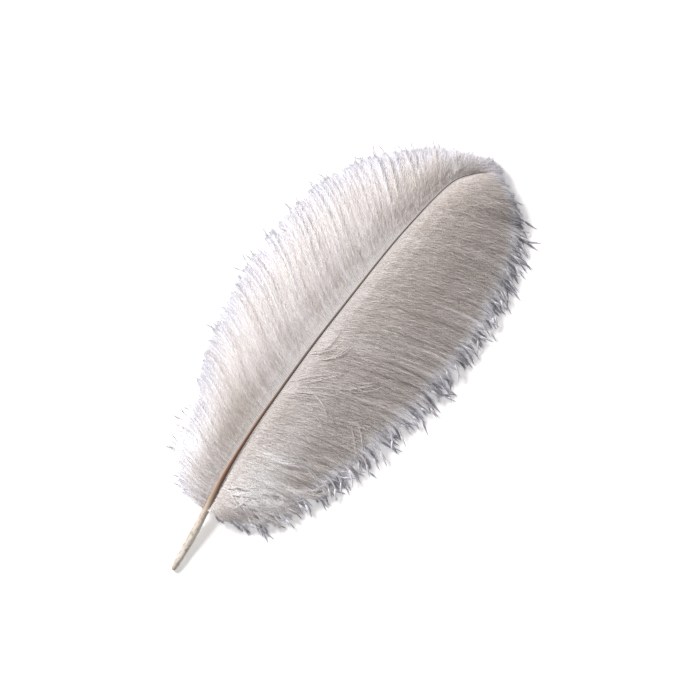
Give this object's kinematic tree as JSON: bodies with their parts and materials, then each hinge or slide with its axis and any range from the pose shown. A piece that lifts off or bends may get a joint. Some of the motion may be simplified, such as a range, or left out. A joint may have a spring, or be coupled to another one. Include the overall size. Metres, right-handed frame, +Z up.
{
  "type": "ostrich feather",
  "caption": "Large fluffy ostrich plume with a bare quill, one long shaft and two wide vanes of soft drooping barbs that curl over at the head.",
  "frame": {"origin": "under the middle of the plume, on the surface that it lies on", "axes": "+X along the plume from the quill to the head, +Y towards the left vane as seen from above with the head away, +Z up out of the plume's back"},
  "size_m": [0.4171, 0.2006, 0.0346],
  "materials": {
    "barbs": "matte",
    "shaft": "satin"
  },
  "bodies": {
    "root": {"feather": "barbs"}
  },
  "joints": []
}
